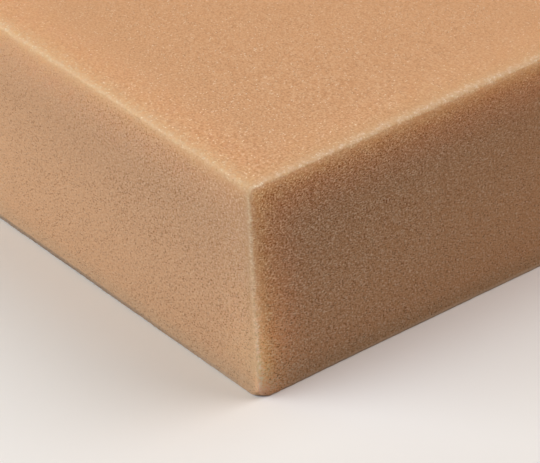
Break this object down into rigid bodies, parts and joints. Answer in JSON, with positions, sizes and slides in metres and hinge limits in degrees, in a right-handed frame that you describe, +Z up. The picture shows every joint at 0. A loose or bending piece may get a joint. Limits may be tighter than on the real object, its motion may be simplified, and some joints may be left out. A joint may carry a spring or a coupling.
{
  "type": "foam block",
  "caption": "Rectangular block of fine-celled flexible foam, cut square with soft edges, for padding, propping or packing things on a bench.",
  "frame": {"origin": "centre of the face that the block rests on", "axes": "+Z up through the thickness of the foam, away from the face that it rests on; +X and +Y along its two plan sides"},
  "size_m": [0.1, 0.1, 0.05],
  "materials": {
    "foam": "matte, open fine-celled tan foam"
  },
  "bodies": {
    "root": {"foam_block": "foam"}
  },
  "joints": []
}
